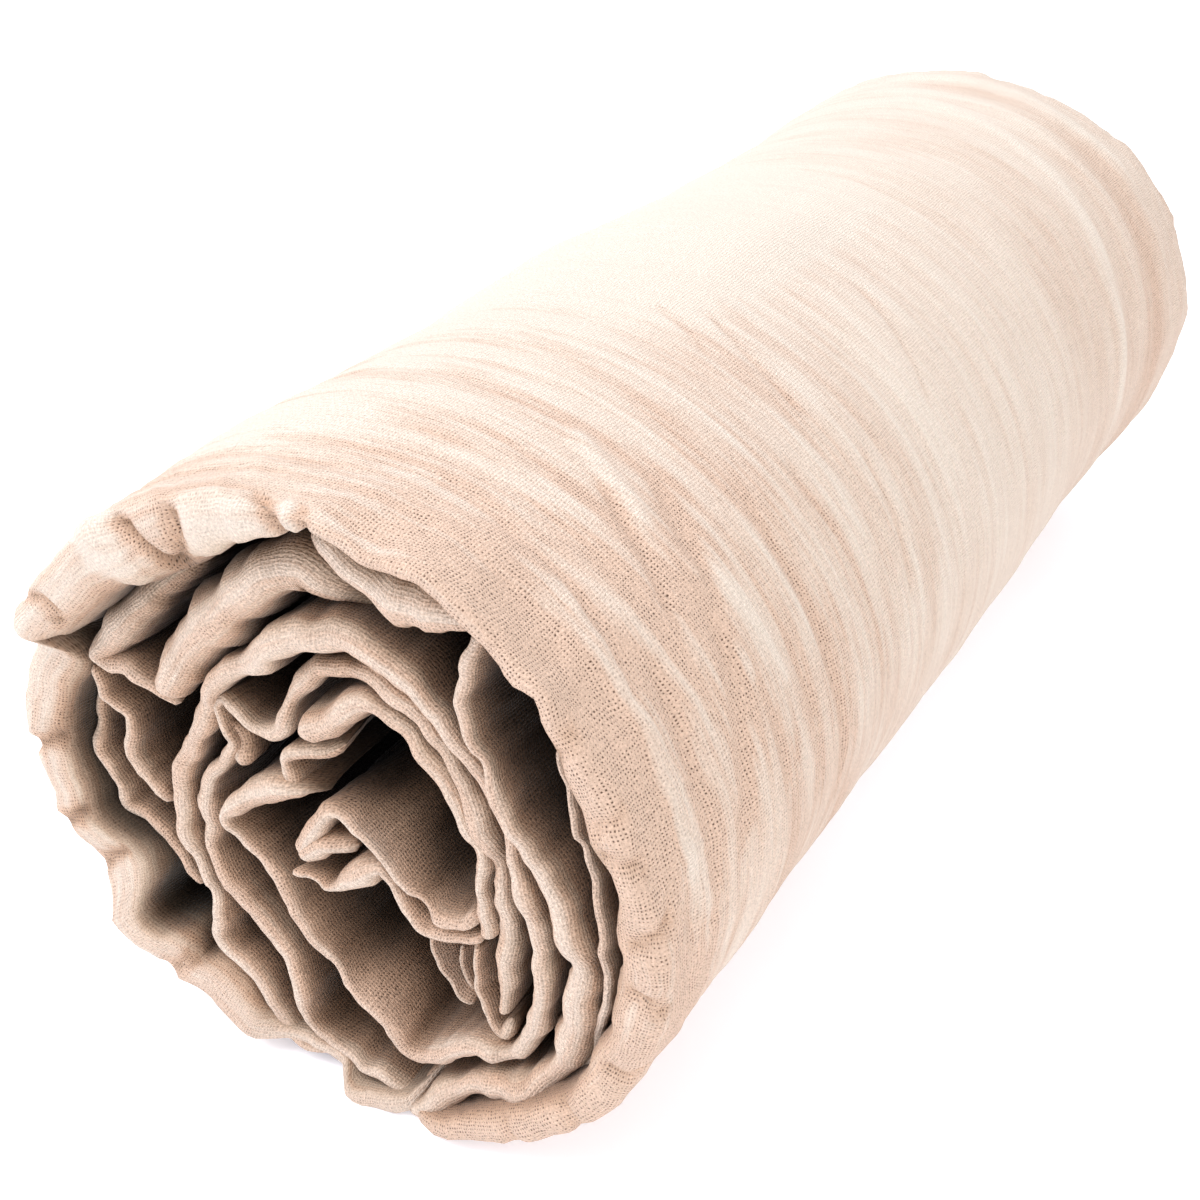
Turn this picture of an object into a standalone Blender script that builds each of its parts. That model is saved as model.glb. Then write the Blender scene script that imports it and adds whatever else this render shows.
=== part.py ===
# A fitted sheet of crinkled cotton gauze, folded lengthwise into a long soft band and rolled up.
# The roll lies along Y with its open near end towards -Y, on a small flat spot at Z = 0.
# The band winds anticlockwise from the core, seen from the near end, its turns a little apart.

import math

import bpy

MM = 0.001

# The roll: its length between the crests of the end lips, and its axis above the flat spot.
LENGTH = 282 * MM
AXIS_HEIGHT = 56 * MM

# Radius of the band's outer face, in mm, read at the hours of a clock face seen from the near end.
# One row is one turn, from the core outwards; the last turn stops at the band's free end.
# It hangs a little lower than the roll's axis height, so its underside is pressed flat there.
HOURS = 12
FIRST_HOUR_ANGLE = math.radians(240)
TURN_RADII = (
    # seven, six, five, four, three, two, one, twelve, eleven, ten, nine, eight
    (9.5, 12, 15, 20, 27, 24, 17, 13, 13, 16, 20, 21),
    (23, 28, 36, 36, 33, 31.5, 30, 26, 22, 21.5, 25, 28),
    (31, 37, 43.5, 45, 41.5, 40, 40, 36, 31, 26.5, 30.5, 33.5),
    (41, 46.5, 50, 52, 49.5, 50, 50, 51, 43, 40, 46, 43),
    (48, 51.5, 54, 60.5, 62.5, 61, 58.5, 57.3, 58.5, 61, 62.5, 61),
    (58.5, 60, 59),
)
FREE_END_HOURS = 61.8

# Each turn's lips, in mm: thickness, and how far they stand back from the ends of the roll.
TURN_LIPS = (
    # thickness, near setback, far setback
    (7.0, 4.0, 9.0),
    (3.6, 9.0, 8.0),
    (4.4, 7.0, 6.5),
    (6.0, 5.0, 5.0),
    (8.5, 1.5, 2.0),
    (8.0, 2.5, 1.0),
    (8.0, 2.5, 1.0),
)

# The free way through the core, and the gap between turns where they press on each other.
CORE_RADIUS = 1.6 * MM
TURN_GAP = 0.7 * MM

# From a lip inwards: how thick the band is there, as a share of its lip, and how far
# the groove beside it has closed, as a share of the room between two turns.
LIP_SECTIONS = (
    # depth in mm, share of lip, share closed
    (0.0, 0.42, 0.00),
    (1.2, 0.74, 0.00),
    (3.2, 0.94, 0.00),
    (7.0, 1.00, 0.02),
    (16.0, 1.00, 0.25),
    (30.0, 1.00, 0.70),
    (46.0, 1.00, 1.00),
)
MIDDLE_SECTIONS = (82 * MM, 118 * MM, 154 * MM, 190 * MM)
SETBACK_FADES_BY = 40 * MM

# Crumples: how far the lips wander across the groove beside them, and the soft rings and
# hollows of the barrel. Each wave has its count round one turn, its phase and its share.
LIP_WANDER = 0.55
LIP_WAVES = ((2.3, 0.4, 0.45), (5.1, 1.9, 0.35), (8.7, 0.9, 0.20))
FAR_END_PHASE = 2.6
BARREL_WAVES = (
    # waves round the roll, waves along it, phase, height as a share of the radius
    (3, 1.0, 0.6, 0.006),
    (2, 2.0, 2.1, 0.005),
    (5, 1.0, 4.0, 0.003),
    (0, 9.0, 1.0, 0.003),
)
MOUTH_DEPTH = 9 * MM
MOUTH_TUCK = 0.035

STEPS_PER_HOUR = 2

CLOTH_COLOUR = (0.80, 0.66, 0.55, 1.0)
CLOTH_ROUGHNESS = 0.9
SMOOTH_UNDER = math.radians(50)


def smooth_value(values, at):
    """Value at a place counted in rows, on a smooth curve through the given ones."""
    last = len(values) - 1
    at = min(max(at, 0.0), float(last))
    low = min(int(at), last - 1)
    t = at - low
    before = values[max(low - 1, 0)]
    start, end = values[low], values[low + 1]
    after = values[min(low + 2, last)]
    slope_in = (end - before) / 2
    slope_out = (after - start) / 2
    rise = 3 * t ** 2 - 2 * t ** 3
    hold_in = t ** 3 - 2 * t ** 2 + t
    hold_out = t ** 3 - t ** 2
    return start + rise * (end - start) + hold_in * slope_in + hold_out * slope_out


RADII = [radius for turn in TURN_RADII for radius in turn]


def outer_radius(hours):
    return smooth_value(RADII, hours) * MM


def inner_room(hours):
    """Smallest radius that the band may reach here: a gap outside the turn below, or the core."""
    if hours < HOURS:
        return CORE_RADIUS
    return outer_radius(hours - HOURS) + TURN_GAP


def lip_value(column, hours):
    return smooth_value([turn[column] for turn in TURN_LIPS], hours / HOURS) * MM


def lip_wander(hours, phase):
    """Share of the free room by which a lip leans inwards, between 0 and LIP_WANDER."""
    turns = 2 * math.pi * hours / HOURS
    wave = sum(share * math.sin(count * turns + shift + phase) for count, shift, share in LIP_WAVES)
    return LIP_WANDER * (0.5 + 0.5 * wave)


def barrel_factor(angle, along):
    """Uneven swell of the barrel, with its mouth drawn in a little at each end."""
    swell = 1.0
    for around, lengthwise, phase, height in BARREL_WAVES:
        swell += height * math.sin(around * angle + 2 * math.pi * lengthwise * along / LENGTH + phase)
    to_end = min(along, LENGTH - along)
    tuck = max(0.0, 1 - to_end / MOUTH_DEPTH)
    return swell - MOUTH_TUCK * tuck ** 2


def faces_at(hours, share_of_lip, closed, phase):
    """Radii of the band's outer and inner faces in one section."""
    low, high = inner_room(hours), outer_radius(hours)
    lip = min(lip_value(0, hours), high - low)
    free = (high - low - lip) * (1 - closed)
    lean = free * lip_wander(hours, phase)
    outer = high - lean
    inner = outer - lip - (high - low - lip) * closed
    middle = (outer + inner) / 2
    half = (outer - inner) / 2 * share_of_lip
    return middle + half, middle - half


def placed(radius, hours, along):
    """A point of the band, in the part's own frame."""
    angle = FIRST_HOUR_ANGLE + 2 * math.pi * hours / HOURS
    far = radius * barrel_factor(angle, along)
    height = max(far * math.sin(angle), -AXIS_HEIGHT)
    return (far * math.cos(angle), along - LENGTH / 2, height + AXIS_HEIGHT)


def sections():
    """Every section from the near lip to the far one: a rule for its place, and its shape."""
    rows = []
    for depth, share, closed in LIP_SECTIONS:
        rows.append((depth * MM, 1, share, closed))
    for along in MIDDLE_SECTIONS:
        rows.append((along, 0, 1.0, 1.0))
    for depth, share, closed in reversed(LIP_SECTIONS):
        rows.append((depth * MM, -1, share, closed))
    return rows


def section_place(row, hours):
    """How far along the roll a section lies at this hour of the winding."""
    depth, end = row[0], row[1]
    if end == 0:
        return depth
    setback = lip_value(1 if end == 1 else 2, hours)
    from_end = depth + setback * max(0.0, 1 - depth / SETBACK_FADES_BY)
    return from_end if end == 1 else LENGTH - from_end


def wound_band():
    """Loft of the band's long flat loop, from lip to lip, closed over both lips."""
    whole_steps = int(FREE_END_HOURS * STEPS_PER_HOUR) + 1
    places = [i / STEPS_PER_HOUR for i in range(whole_steps)] + [FREE_END_HOURS]
    count = len(places)
    points, faces = [], []
    rows = sections()
    for row in rows:
        phase = FAR_END_PHASE if row[1] == -1 else 0.0
        sides = [faces_at(h, row[2], row[3], phase) for h in places]
        for side in (0, 1):
            for h, radii in zip(places, sides):
                points.append(placed(radii[side], h, section_place(row, h)))
    loop = 2 * count
    last = (len(rows) - 1) * loop
    for k in range(len(rows) - 1):
        here, there = k * loop, (k + 1) * loop
        for i in range(count - 1):
            # Both faces are split along the same diagonal, so the turns can't cross.
            faces.append((here + i, there + i + 1, here + i + 1))
            faces.append((here + i, there + i, there + i + 1))
            inner = here + count + i
            beyond = there + count + i
            faces.append((inner, inner + 1, beyond + 1))
            faces.append((inner, beyond + 1, beyond))
        for i, turned in ((0, False), (count - 1, True)):
            edge = (here + i, here + count + i, there + count + i, there + i)
            faces.append(edge[::-1] if turned else edge)
    for i in range(count - 1):
        faces.append((i, i + 1, count + i + 1, count + i))
        faces.append((last + i, last + count + i, last + count + i + 1, last + i + 1))
    mesh = bpy.data.meshes.new("rolled_sheet")
    mesh.from_pydata(points, [], faces)
    mesh.validate()
    mesh.shade_smooth()
    mesh.set_sharp_from_angle(angle=SMOOTH_UNDER)
    return mesh


def cotton_gauze():
    material = bpy.data.materials.new("washed cotton gauze")
    material.use_nodes = True
    surface = material.node_tree.nodes["Principled BSDF"]
    surface.inputs["Base Color"].default_value = CLOTH_COLOUR
    surface.inputs["Roughness"].default_value = CLOTH_ROUGHNESS
    surface.inputs["Metallic"].default_value = 0.0
    return material


for old in list(bpy.data.objects):
    bpy.data.objects.remove(old, do_unlink=True)

collection = bpy.data.collections.new("rolled fitted sheet")
bpy.context.scene.collection.children.link(collection)

roll = bpy.data.objects.new("rolled_sheet", wound_band())
roll.data.materials.append(cotton_gauze())
collection.objects.link(roll)
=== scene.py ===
import math

import bpy
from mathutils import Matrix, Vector, noise


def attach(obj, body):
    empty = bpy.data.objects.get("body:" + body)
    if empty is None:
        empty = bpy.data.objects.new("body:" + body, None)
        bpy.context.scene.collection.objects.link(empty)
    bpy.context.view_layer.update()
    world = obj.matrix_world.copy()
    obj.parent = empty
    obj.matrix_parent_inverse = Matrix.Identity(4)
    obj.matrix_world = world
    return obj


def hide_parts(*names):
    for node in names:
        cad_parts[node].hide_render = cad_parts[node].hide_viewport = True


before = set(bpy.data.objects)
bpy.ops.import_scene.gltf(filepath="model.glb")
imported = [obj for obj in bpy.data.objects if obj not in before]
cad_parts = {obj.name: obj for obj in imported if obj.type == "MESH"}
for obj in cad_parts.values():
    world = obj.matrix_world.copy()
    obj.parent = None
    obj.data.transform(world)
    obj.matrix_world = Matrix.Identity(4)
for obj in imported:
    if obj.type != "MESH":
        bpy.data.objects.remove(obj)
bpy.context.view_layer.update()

# Washed cotton gauze: a loose plain weave of soft spun yarn, which dries into fine crinkles.
# Its matt threads take the light softly. Where the cloth sinks between crinkles it is painted
# pinker as painted shade, and the holes between its threads show as uneven rows of dark dots.
MM = 0.001
CREAM = "#D9D0C4"
PEACH = "#CAAE9A"
HOLE_BROWN = "#4A3324"
# All in mm. Real threads lie about 0.7 apart, and are drawn a little closer, because their dots
# then match the real ones at the size of the picture. They stray a little sideways.
THREAD_PITCH = 0.58
THREAD_WANDER, WANDER_SIZE = 0.46, 4.0
WEAVE_RELIEF = 0.2
# Thick places of the yarn and patches of pinker cloth, along the threads and across them.
SLUB_LENGTH, SLUB_WIDTH = 26.0, 1.8
BLUSH_LENGTH, BLUSH_WIDTH = 42.0, 8.0
# Patches where the threads lie closer. Loose fibres are finer than they are drawn here.
OPEN_PATCH = 2.6
FUZZ_SIZE = 0.5
# A thread's rise where it passes over another, and how far the holes between threads open, as
# shares of a thread's height.
THREAD_OVER = 0.35
SMALLEST_HOLE, LARGEST_HOLE = 0.03, 0.8
# Painted shade: the cloth's colour is darkened deeper in the folds, standing in for their shade.
SHADE_BY_DEPTH = (
    # mm behind a fold's front, share of red, green and blue that the painted shade leaves there
    (0, 1.0, 1.0, 1.0), (1, 0.97, 0.93, 0.89), (2, 0.87, 0.80, 0.73), (3, 0.72, 0.64, 0.56),
    (5, 0.48, 0.41, 0.345), (8, 0.25, 0.208, 0.17), (12, 0.10, 0.082, 0.064), (20, 0.03, 0.024, 0.018),
    (30, 0.012, 0.0095, 0.0075),
)


def linear(hex_colour):
    """Linear red, green, blue and alpha of an sRGB hex colour."""
    parts = [int(hex_colour[i:i + 2], 16) / 255 for i in (1, 3, 5)]
    return [p / 12.92 if p <= 0.04045 else ((p + 0.055) / 1.055) ** 2.4 for p in parts] + [1.0]


def add_node(tree, kind, inputs, **settings):
    """Adds a node: inputs are values or other nodes' sockets, settings are its own values."""
    made = tree.nodes.new("ShaderNode" + kind)
    for name, value in settings.items():
        setattr(made, name, value)
    for name, value in inputs.items():
        if isinstance(value, bpy.types.NodeSocket):
            tree.links.new(value, made.inputs[name])
        else:
            made.inputs[name].default_value = value
    return made


def cotton_gauze():
    """The cloth's material. Each mesh gives it a weave map in mm, and the three numbers below."""
    cloth = bpy.data.materials.new("washed cotton gauze")
    cloth.use_nodes = True
    tree = cloth.node_tree
    surface = tree.nodes["Principled BSDF"]
    place = add_node(tree, "UVMap", {}, uv_map="weave").outputs["UV"]
    # Depth of painted shade behind the fold's front, the painted tint (pinker as shade between
    # crinkles and in hollows, paler as a highlight on the barrel's top), and the cloth's fluff,
    # which tints it pinker too, as painted shade.
    depth = add_node(tree, "Attribute", {}, attribute_name="depth").outputs["Fac"]
    painted_shade_and_light = add_node(tree, "Attribute", {}, attribute_name="painted_shade_and_light").outputs["Fac"]
    nap_and_painted_shade = add_node(tree, "Attribute", {}, attribute_name="nap_and_painted_shade").outputs["Fac"]

    # Threads wander a little, so the rows of holes are never quite straight.
    stray = add_node(tree, "TexNoise", {"Vector": place, "Scale": 1 / WANDER_SIZE})
    pull = add_node(tree, "VectorMath", {
        0: stray.outputs["Color"], 1: (2 * THREAD_WANDER,) * 3, 2: place}, operation="MULTIPLY_ADD")
    threads = add_node(tree, "VectorMath", {
        0: pull.outputs[0], "Scale": 1 / THREAD_PITCH}, operation="SCALE")
    count = add_node(tree, "VectorMath", {0: threads.outputs[0], "Scale": math.pi}, operation="SCALE")
    half = add_node(tree, "VectorMath", {0: count.outputs[0]}, operation="COSINE")
    half = add_node(tree, "SeparateXYZ", {0: half.outputs[0]})
    # A thread's crown is where the squared cosine is one, and a hole is where both are nought.
    warp = add_node(tree, "Math", {0: half.outputs["X"], 1: 2.0}, operation="POWER")
    weft = add_node(tree, "Math", {0: half.outputs["Y"], 1: 2.0}, operation="POWER")
    over = add_node(tree, "Math", {0: half.outputs["X"], 1: half.outputs["Y"]}, operation="MULTIPLY")
    warp_top = add_node(tree, "Math", {
        0: over.outputs[0], 1: THREAD_OVER, 2: warp.outputs[0]}, operation="MULTIPLY_ADD")
    weft_top = add_node(tree, "Math", {
        0: over.outputs[0], 1: -THREAD_OVER, 2: weft.outputs[0]}, operation="MULTIPLY_ADD")
    height = add_node(tree, "Math", {
        0: warp_top.outputs[0], 1: weft_top.outputs[0]}, operation="MAXIMUM")
    # Each hole is open to its own degree, and in small patches the threads lie closer.
    cell = add_node(tree, "VectorMath", {0: threads.outputs[0]}, operation="FLOOR")
    chance = add_node(tree, "TexWhiteNoise", {"Vector": cell.outputs[0]}, noise_dimensions="2D")
    closer = add_node(tree, "TexNoise", {"Vector": place, "Scale": 1 / OPEN_PATCH, "Roughness": 0.6})
    chance = add_node(tree, "Math", {
        0: closer.outputs["Fac"], 1: 1.6, 2: chance.outputs["Value"]}, operation="MULTIPLY_ADD")
    open_to = add_node(tree, "MapRange", {
        "Value": chance.outputs[0], "From Min": 0.85, "From Max": 1.85,
        "To Min": SMALLEST_HOLE, "To Max": LARGEST_HOLE})
    hole = add_node(tree, "MapRange", {
        "Value": height.outputs[0], "From Min": open_to.outputs[0], "From Max": 0.0},
        interpolation_type="SMOOTHSTEP")

    # Soft spun yarn is thick and thin, and where the cloth sinks between crinkles it is painted
    # pinker as painted shade.
    slubs = add_node(tree, "Mapping", {
        "Vector": place, "Scale": (1 / SLUB_LENGTH, 1 / SLUB_WIDTH, 1.0)})
    slub = add_node(tree, "TexNoise", {"Vector": slubs.outputs[0], "Scale": 1.0, "Detail": 3.0})
    blushes = add_node(tree, "Mapping", {
        "Vector": place, "Scale": (1 / BLUSH_LENGTH, 1 / BLUSH_WIDTH, 1.0)})
    blush = add_node(tree, "TexNoise", {
        "Vector": blushes.outputs[0], "Scale": 1.0, "Detail": 3.0, "Roughness": 0.6})
    patch = add_node(tree, "MapRange", {
        "Value": blush.outputs["Fac"], "From Min": 0.40, "From Max": 0.68, "To Min": 0.05, "To Max": 0.6})
    streak = add_node(tree, "MapRange", {
        "Value": slub.outputs["Fac"], "From Min": 0.35, "From Max": 0.70, "To Min": -0.12, "To Max": 0.4})
    softer = add_node(tree, "MapRange", {"Value": nap_and_painted_shade, "From Min": 0.4, "From Max": 0.6, "To Min": 0.4})
    tint_and_painted_shade = add_node(tree, "Math", {0: patch.outputs[0], 1: streak.outputs[0]}, operation="ADD")
    # The painted shade and light from each mesh is added to the cloth's random blush.
    tint_and_painted_shade = add_node(tree, "Math", {
        0: tint_and_painted_shade.outputs[0], 1: softer.outputs[0], 2: painted_shade_and_light}, operation="MULTIPLY_ADD", use_clamp=True)
    # The fluff tints the cloth pinker as well, most on the lips: painted shade.
    tint = add_node(tree, "Math", {
        0: nap_and_painted_shade, 1: 0.6, 2: tint_and_painted_shade.outputs[0]}, operation="MULTIPLY_ADD", use_clamp=True)
    ground = add_node(tree, "Mix", {
        "Factor": tint.outputs[0], 6: linear(CREAM), 7: linear(PEACH)}, data_type="RGBA")
    show = add_node(tree, "MapRange", {"Value": tint_and_painted_shade.outputs[0], "From Max": 0.8, "To Min": 0.12})
    amount = add_node(tree, "Math", {0: show.outputs[0], 1: hole.outputs[0]}, operation="MULTIPLY")
    woven = add_node(tree, "Mix", {
        "Factor": amount.outputs[0], 6: ground.outputs[2], 7: linear(HOLE_BROWN)}, data_type="RGBA")
    # Loose fibres speckle the threads, and deep in the folds the colour is darkened as painted shade.
    fuzz = add_node(tree, "TexNoise", {
        "Vector": place, "Scale": 1 / FUZZ_SIZE, "Detail": 4.0, "Roughness": 0.75})
    least = add_node(tree, "MapRange", {"Value": nap_and_painted_shade, "To Min": 0.94, "To Max": 0.56})
    most = add_node(tree, "MapRange", {"Value": nap_and_painted_shade, "To Min": 1.05, "To Max": 1.40})
    speckle = add_node(tree, "MapRange", {
        "Value": fuzz.outputs["Fac"], "From Min": 0.3, "From Max": 0.7,
        "To Min": least.outputs[0], "To Max": most.outputs[0]})
    fluffy = add_node(tree, "VectorMath", {
        0: woven.outputs[2], "Scale": speckle.outputs[0]}, operation="SCALE")
    deepest = SHADE_BY_DEPTH[-1][0]
    inwards = add_node(tree, "Math", {0: depth, 1: deepest}, operation="DIVIDE", use_clamp=True)
    light_left = add_node(tree, "ValToRGB", {"Fac": inwards.outputs[0]})
    stops = light_left.color_ramp.elements
    while len(stops) < len(SHADE_BY_DEPTH):
        stops.new(0.5)
    for stop, (behind, red, green, blue) in zip(stops, SHADE_BY_DEPTH):
        stop.position = behind / deepest
        stop.color = (red, green, blue, 1.0)
    shaded = add_node(tree, "Mix", {
        "Factor": 1.0, 6: fluffy.outputs[0], 7: light_left.outputs["Color"]},
        data_type="RGBA", blend_type="MULTIPLY")
    tree.links.new(shaded.outputs[2], surface.inputs["Base Color"])

    relief = add_node(tree, "Math", {
        0: fuzz.outputs["Fac"], 1: 0.9, 2: height.outputs[0]}, operation="MULTIPLY_ADD")
    bump = add_node(tree, "Bump", {
        "Height": relief.outputs[0], "Strength": 0.7, "Distance": WEAVE_RELIEF * MM})
    tree.links.new(bump.outputs[0], surface.inputs["Normal"])
    surface.inputs["Roughness"].default_value = 0.92
    surface.inputs["Specular IOR Level"].default_value = 0.1
    surface.inputs["Sheen Weight"].default_value = 0.12
    surface.inputs["Sheen Roughness"].default_value = 0.5
    return cloth


GAUZE = cotton_gauze()

# The outer turn: the band's last turn, a soft thick layer that makes the barrel. At both ends
# it rolls over into the roll's rim, its free fold lies along the underside, and its own weight
# presses that underside flat.
LENGTH = 282.0
AXIS_HEIGHT = 56.0
BARREL_HOURS = (
    # angle in degrees, radius in mm
    (-90, 58.0), (-60, 59.0), (-30, 60.5), (0, 62.5), (30, 61.0), (60, 58.5), (90, 57.3),
    (120, 58.5), (150, 61.0), (180, 62.5), (210, 61.0), (240, 58.5), (270, 58.0), (300, 59.0),
    (330, 60.5),
)
BARREL_WAVES = (
    # waves round the roll, waves along it, phase, height in mm
    (3, 1.0, 0.6, 0.36),
    (2, 2.0, 2.1, 0.30),
    (5, 1.0, 4.0, 0.18),
    (0, 9.0, 1.0, 0.18),
)
NEAR_RIM = (
    # angle in degrees, inner and outer radius, how far it stands back, in mm
    (-77, 55.0, 58.6, 2.5), (-68, 54.8, 58.6, 1.0), (-60, 53.4, 58.6, 0.6), (-51, 52.6, 59.2, 0.5),
    (-42, 53.8, 60.0, 0.3), (-35, 54.6, 60.6, 0.2), (-28, 54.1, 61.0, 0.3), (-22, 52.9, 61.2, 0.8),
    (-13, 53.4, 61.8, 0.2), (-4, 52.7, 62.0, 0.6), (1, 54.5, 62.0, 0.0), (5, 53.2, 62.0, 0.6),
    (13, 56.0, 61.8, 0.0), (20, 53.1, 61.2, 0.5), (26, 53.2, 60.8, 0.4), (33, 53.6, 60.2, 0.2),
    (40, 56.1, 59.8, 0.0), (44, 58.0, 60.4, 0.0), (47, 55.9, 59.6, 0.3), (54, 56.6, 59.4, 0.2),
    (64, 57.4, 59.8, 0.0), (72, 55.7, 58.2, 0.3), (80, 55.9, 58.0, 0.2), (84, 55.8, 58.0, 0.0),
    (90, 52.0, 57.0, 0.3), (96, 50.2, 57.0, 0.4), (109, 46.5, 57.4, 0.6), (124, 44.7, 58.4, 0.4),
    (137, 47.8, 58.8, 0.6), (148, 49.0, 60.6, 0.3), (154, 50.5, 62.0, 0.0), (158, 53.5, 62.8, 0.0),
    (161, 56.5, 62.6, 0.3), (162.6, 57.5, 61.6, 1.4), (164.6, 51.0, 61.2, 4.5), (172, 52.4, 63.0, 3.5),
    (180, 53.6, 63.8, 2.5), (187, 53.2, 63.6, 2.5), (194, 51.6, 62.8, 2.0), (198, 51.6, 63.0, 1.5),
    (202, 48.6, 61.0, 1.8), (206, 45.4, 59.6, 2.5), (211, 43.8, 59.6, 2.0), (215, 46.5, 61.0, 1.2),
    (218, 51.0, 63.6, 0.5), (222, 54.0, 62.8, 0.3), (225, 51.5, 61.4, 0.4),
    (228, 46.5, 60.0, 0.6), (233, 49.6, 59.0, 0.8), (237, 45.0, 58.2, 1.0), (244, 45.6, 57.8, 0.8),
    (249, 48.6, 57.2, 0.8), (253, 50.4, 54.6, 2.5), (256, 50.6, 53.2, 4.5), (262, 50.2, 52.6, 5.0),
    (268, 51.0, 53.4, 5.0), (270.5, 52.6, 56.2, 2.0), (272, 53.2, 57.5, 1.0), (278, 53.2, 57.0, 1.5),
    (284, 53.2, 57.2, 2.0), (320, 53.0, 57.2, 2.0),
)
# The main creases: soft troughs and, where they rise, ridges. Near the rim the distance goes on
# round its lip, to nought at the lip's front and below nought inside it.
BARREL_CREASES = (
    # angle and mm from the near end at its start, middle and end, then rise and half width in mm
    ((62, 8.6), (39, 7.2), (10, 4.0), -0.7, 4.2),
    ((56, 18.0), (37, 13.8), (8, 11.4), 0.75, 1.8),
    ((66, 20.5), (49, 19.2), (32, 14.6), -0.5, 1.3),
    ((61, 42.0), (50, 35.6), (39, 30.6), -0.9, 2.2),
    ((57, 50.5), (31, 38.0), (6, 25.6), -0.9, 2.4),
    ((38, 23.0), (23, 19.0), (5, 18.0), -0.8, 1.5),
    ((71, 48.5), (61, 44.7), (51, 40.6), 0.7, 1.7),
    ((45, 42.7), (35, 40.3), (25, 40.6), 0.6, 1.3),
    ((49, 63.5), (22, 61.4), (-12, 65.6), -0.6, 1.1),
    ((27, 53.0), (19, 53.2), (12, 54.0), -0.5, 1.0),
    ((21, 48.3), (15, 47.6), (9, 46.0), -0.5, 1.1),
    ((20, 41.3), (13, 41.4), (8, 41.6), -0.5, 1.2),
    ((78, 22.0), (68, 21.7), (62, 21.0), -0.4, 1.5),
    ((82, 94.0), (75, 91.0), (67, 87.2), -0.4, 0.8),
    ((75, 99.4), (61, 94.1), (48, 91.4), -0.5, 0.9),
    ((46, 78.8), (38, 77.8), (30, 79.8), -0.4, 0.9),
    ((62, 138.6), (49, 133.3), (35, 127.2), -0.45, 0.9),
    ((40, 98.5), (28, 97.0), (12, 94.0), -0.5, 1.0),
    ((101, 254.0), (52, 236.0), (-8, 227.4), 0.6, 3.0),
    ((96, 259.0), (50, 246.0), (0, 234.0), -0.25, 3.2),
    ((112, 262.0), (66, 254.0), (10, 246.0), 0.45, 2.6),
    ((104, 269.0), (60, 262.0), (-6, 256.0), -0.5, 4.5),
    ((110, 275.0), (60, 271.0), (10, 266.0), 0.6, 3.0),
    ((74, 220.0), (24, 206.0), (-55, 196.0), -0.32, 13.0),
    ((64, 263.0), (14, 257.0), (-55, 246.0), -0.48, 12.0),
    # and the broad swell of the barrel's upper side
    ((150, 128.0), (112, 132.0), (70, 138.0), 2.4, 30.0),
)
RIM_PLEATS = (
    # the same, where the rim's lip is drawn into pleats or puffs out between them
    ((132, 6.0), (129, -2.0), (128, -8.0), 1.3, 4.2),
    ((105, 5.0), (105, -2.0), (106, -7.0), 1.2, 3.6),
    ((98, 4.0), (97.5, -1.0), (97, -5.0), 0.8, 2.6),
    ((124, 4.5), (119.6, -3.0), (116.5, -8.5), -2.4, 1.6),
    ((111, 3.0), (111.8, -1.5), (116.0, -8.5), -1.8, 1.4),
    ((94.5, 5.5), (91.0, 1.0), (88.0, -3.0), -1.6, 1.3),
    ((89.6, 5.0), (87.0, 0.6), (85.6, -2.6), 0.9, 0.9),
    ((85.4, 3.6), (84.4, 0.8), (82.5, -2.0), -0.9, 0.9),
    ((158, 6.5), (151.5, 1.0), (153.5, -5.5), -1.3, 1.2),
    ((182, -6.0), (184.5, -1.0), (186.5, 6.0), -1.3, 1.4),
    ((197, -6.0), (198.6, -1.0), (200.5, 6.5), -1.4, 1.4),
    ((9.4, 6.5), (7.0, 1.0), (5.0, -3.0), -1.2, 1.3),
    ((26, 4.0), (24.5, 0.5), (23.5, -3.0), -0.7, 1.0),
    ((-20, 6.0), (-21.5, 1.0), (-22.0, -3.0), -1.1, 1.2),
    ((-6, 5.0), (-4.5, 0.5), (-3.5, -4.0), -1.1, 1.0),
    ((17, 5.0), (18.5, 0.5), (20.0, -4.0), -0.8, 1.1),
    ((38, 4.0), (36.5, 0.5), (35.0, -4.0), -0.7, 1.3),
    ((-38, 5.0), (-37.0, 0.5), (-36.0, -4.0), -0.9, 1.3),
    ((-52, 4.0), (-51.0, 0.5), (-50.0, -4.0), -0.8, 1.2),
    ((206, -6.0), (207.5, -1.0), (209.5, 6.5), -1.2, 1.3),
    ((232, -6.0), (231, -1.0), (229.5, 5.5), -1.2, 1.4),
)
# The band's free fold and the turn that slips under it: how far they lie inside the barrel.
FREE_FOLD = (
    # angle in degrees, mm inside the barrel's face
    (-52, 6.5), (-56, 6.5), (-60, 6.5), (-64, 6.4), (-68, 6.3), (-71.5, 6.0), (-74.2, 5.2),
    (-75.8, 4.0), (-76.2, 2.7), (-75.4, 1.5), (-73.6, 0.7), (-71.4, 0.2),
)
TUCKED_UNDER = (
    # angle in degrees, mm inside the barrel's face
    (281, 0.2), (283.5, 1.0), (286, 3.2), (289, 6.2), (293, 8.2), (300, 8.6), (310, 8.8),
)
# In mm: how far inside the barrel the cloth is wholly tucked and how far it then stands back,
# and the mean radius by which the cloth round the barrel is measured.
WHOLLY_TUCKED, TUCKED_SETBACK = 6.5, 9.0
MEAN_RADIUS = 60.0

# The rim, in mm: where its crest stands between its inner and its outer face, as a share, how far
# it is carried forward, its thinnest lip, how far that rounds back at most inside and outside its
# crest, and over what length of the barrel its shape and its setback die away.
CREST_SHARE = 0.38
END_FORWARD = 3.2
THINNEST_LIP = 1.6
MOST_INWARDS, MOST_OUTWARDS = 5.0, 3.0
RIM_FADE, SHIFT_FADE = 28.0, 30.0
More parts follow.
